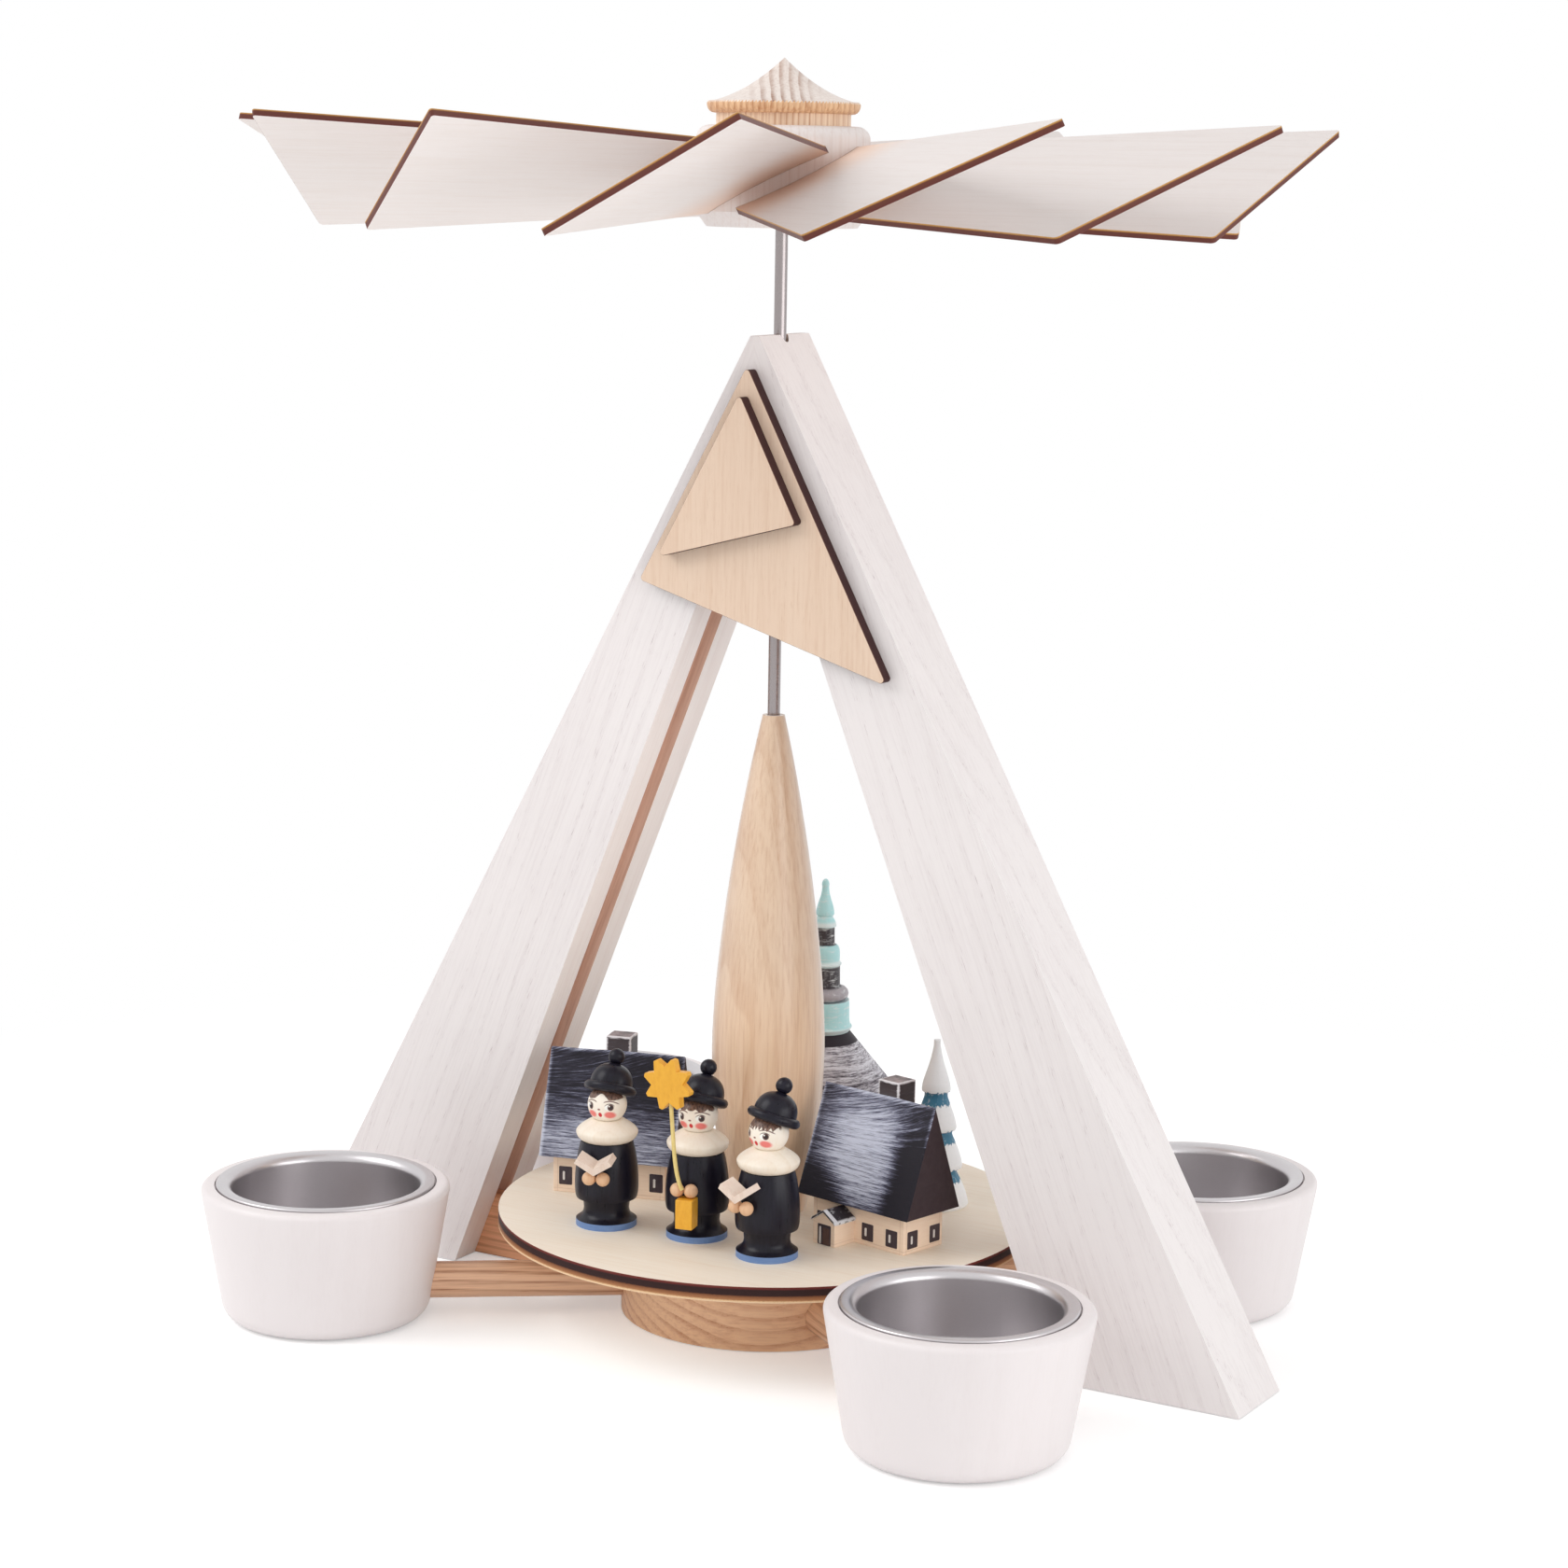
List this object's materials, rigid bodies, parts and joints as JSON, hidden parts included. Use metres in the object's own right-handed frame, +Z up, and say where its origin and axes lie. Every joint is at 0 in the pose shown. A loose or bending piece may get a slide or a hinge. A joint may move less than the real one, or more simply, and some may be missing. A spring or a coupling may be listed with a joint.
{
  "type": "christmas pyramid",
  "caption": "Tealight pyramid with an A-shaped wooden frame, cups on arms, a bladed wheel on a steel shaft, and a turning disc with carolers, houses, a church and a tree.",
  "frame": {"origin": "on the table, under the rotor's axis", "axes": "+Z up along the shaft, +X to the right along the plane of the A-frame, -Y to the front, where the two plates are"},
  "size_m": [0.2378, 0.2324, 0.2724],
  "materials": {
    "white_ash": "white-glazed ash, open grain",
    "oiled_wood": "oiled, satin",
    "natural_wood": "natural, clear matt",
    "birch_ply": "laser-cut plywood",
    "steel": "satin",
    "black_paint": "painted, satin",
    "cream_wood": "turned, clear",
    "gold_paint": "painted, satin",
    "slate_paint": "painted, dry-brushed",
    "mint_paint": "painted, satin",
    "snow_paint": "painted, dry-brushed"
  },
  "bodies": {
    "frame": {"base_hub": "oiled_wood", "pivot_cup": "steel", "leg_left": "white_ash", "leg_right": "white_ash", "tie_left": "oiled_wood", "tie_right": "oiled_wood", "plate_large": "birch_ply", "plate_small": "birch_ply", "guide_bush": "steel", "arm_front_right": "oiled_wood", "arm_back_right": "oiled_wood", "arm_back_left": "oiled_wood", "arm_front_left": "oiled_wood", "cup_front_right": "white_ash", "cup_back_right": "white_ash", "cup_back_left": "white_ash", "cup_front_left": "white_ash"},
    "rotor": {"shaft": "steel", "wheel_hub": "white_ash", "disc": "birch_ply", "blade_1": "birch_ply", "blade_2": "birch_ply", "blade_3": "birch_ply", "blade_4": "birch_ply", "blade_5": "birch_ply", "blade_6": "birch_ply", "blade_7": "birch_ply", "blade_8": "birch_ply", "blade_9": "birch_ply", "blade_10": "birch_ply", "blade_11": "birch_ply", "blade_12": "birch_ply", "wheel_ring": "natural_wood", "wheel_cap": "natural_wood", "trunk": "natural_wood", "caroler_left_body": "black_paint", "caroler_left_head": "cream_wood", "caroler_left_hat": "black_paint", "caroler_left_hands": "cream_wood", "caroler_middle_body": "black_paint", "caroler_middle_head": "cream_wood", "caroler_middle_hat": "black_paint", "caroler_middle_hands": "cream_wood", "caroler_right_body": "black_paint", "caroler_right_head": "cream_wood", "caroler_right_hat": "black_paint", "caroler_right_hands": "cream_wood", "caroler_star": "gold_paint", "house_left_walls": "cream_wood", "house_left_roof": "slate_paint", "house_right_walls": "cream_wood", "house_right_roof": "slate_paint", "church_walls": "cream_wood", "church_roof": "slate_paint", "church_tower": "mint_paint", "tree": "snow_paint"},
    "insert_front_right": {"insert_front_right": "steel"},
    "insert_back_right": {"insert_back_right": "steel"},
    "insert_back_left": {"insert_back_left": "steel"},
    "insert_front_left": {"insert_front_left": "steel"}
  },
  "joints": [
    {"name": "rotor_spin", "type": "hinge", "parent": "frame", "child": "rotor", "pos_m": [0, 0, 0], "axis": [0, 0, 1], "continuous": true},
    {"name": "insert_lift_front_right", "type": "slide", "parent": "frame", "child": "insert_front_right", "axis": [0, 0, 1], "range_m": [0, 0.05]},
    {"name": "insert_lift_back_right", "type": "slide", "parent": "frame", "child": "insert_back_right", "axis": [0, 0, 1], "range_m": [0, 0.05]},
    {"name": "insert_lift_back_left", "type": "slide", "parent": "frame", "child": "insert_back_left", "axis": [0, 0, 1], "range_m": [0, 0.05]},
    {"name": "insert_lift_front_left", "type": "slide", "parent": "frame", "child": "insert_front_left", "axis": [0, 0, 1], "range_m": [0, 0.05]}
  ]
}
